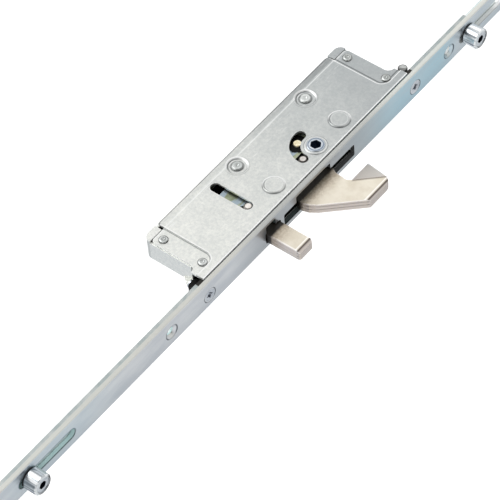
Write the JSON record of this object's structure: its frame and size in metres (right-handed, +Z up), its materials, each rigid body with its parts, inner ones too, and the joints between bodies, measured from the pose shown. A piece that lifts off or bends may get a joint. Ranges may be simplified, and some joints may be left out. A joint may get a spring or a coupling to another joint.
{
  "type": "multipoint door lock section",
  "caption": "Locking section of a multipoint door lock: long forend strip with a flat case that throws a square bolt and swings a hook, and adjustable roller cams on the same drive rail.",
  "frame": {"origin": "middle of the forend's front face, half way between the two case screws", "axes": "+X into the door from the forend's front face, so bolt, hook and rollers stand out toward -X; +Z up along the strip; the case lid faces -Y"},
  "size_m": [0.0696, 0.0162, 0.416],
  "materials": {
    "forend_plate": "satin zinc finish, faintly blue",
    "case_zinc": "pale zinc-plated sheet, slightly mottled",
    "rivet_steel": "zinc-plated, worn",
    "pillar_steel": "zinc-plated",
    "screw_zinc": "bright zinc",
    "hub_steel": "bright zinc",
    "guide_plastic": "moulded, matt",
    "rail_steel": "darker zinc",
    "slide_steel": "greenish zinc",
    "driver_brass": "plain brass",
    "bolt_nickel": "nickel-plated, satin",
    "pin_steel": "hardened, warm grey",
    "stud_steel": "bright steel",
    "roller_chrome": "polished chrome",
    "washer_plastic": "moulded, matt"
  },
  "bodies": {
    "case": {"forend": "forend_plate", "case_tray": "case_zinc", "case_lid": "case_zinc", "corner_rivets": "rivet_steel", "spacer_rivets": "rivet_steel", "screw_pillars": "pillar_steel", "screw_spacers": "pillar_steel", "case_screws": "screw_zinc", "pivot_bush": "hub_steel", "bolt_guide": "guide_plastic"},
    "drive": {"drive_rail": "rail_steel", "drive_slide": "slide_steel", "driver_pin": "driver_brass", "upper_washer": "washer_plastic", "lower_washer": "washer_plastic", "upper_ring": "pillar_steel", "lower_ring": "pillar_steel"},
    "bolt": {"deadbolt": "bolt_nickel", "bolt_pin": "pin_steel"},
    "hook_arm": {"hook": "bolt_nickel", "hook_pin": "pin_steel"},
    "upper_eccentric": {"upper_stud": "stud_steel"},
    "lower_eccentric": {"lower_stud": "stud_steel"},
    "upper_roller": {"upper_sleeve": "roller_chrome"},
    "lower_roller": {"lower_sleeve": "roller_chrome"}
  },
  "joints": [
    {"name": "rail_travel", "type": "slide", "parent": "case", "child": "drive", "axis": [0, 0, -1], "range_m": [0, 0.022]},
    {"name": "bolt_throw", "type": "slide", "parent": "case", "child": "bolt", "axis": [1, 0, 0], "range_m": [0, 0.02]},
    {"name": "hook_swing", "type": "hinge", "parent": "case", "child": "hook_arm", "pos_m": [0.0115, 0, -0.016], "axis": [0, 1, 0], "range_deg": [0, 96]},
    {"name": "upper_adjust", "type": "hinge", "parent": "drive", "child": "upper_eccentric", "pos_m": [0, 0.0003, 0.2073], "axis": [1, 0, 0], "range_deg": [-180, 180]},
    {"name": "lower_adjust", "type": "hinge", "parent": "drive", "child": "lower_eccentric", "pos_m": [0, 0.0003, -0.1221], "axis": [1, 0, 0], "range_deg": [-180, 180]},
    {"name": "upper_spin", "type": "hinge", "parent": "upper_eccentric", "child": "upper_roller", "pos_m": [0, 0.0003, 0.2066], "axis": [1, 0, 0], "continuous": true},
    {"name": "lower_spin", "type": "hinge", "parent": "lower_eccentric", "child": "lower_roller", "pos_m": [0, 0.0003, -0.1228], "axis": [1, 0, 0], "continuous": true}
  ],
  "couplings": [
    {"joint": "bolt_throw", "follows": "rail_travel", "ratio": 0.90909},
    {"joint": "hook_swing", "follows": "rail_travel", "rad_per_m": 76.16}
  ]
}
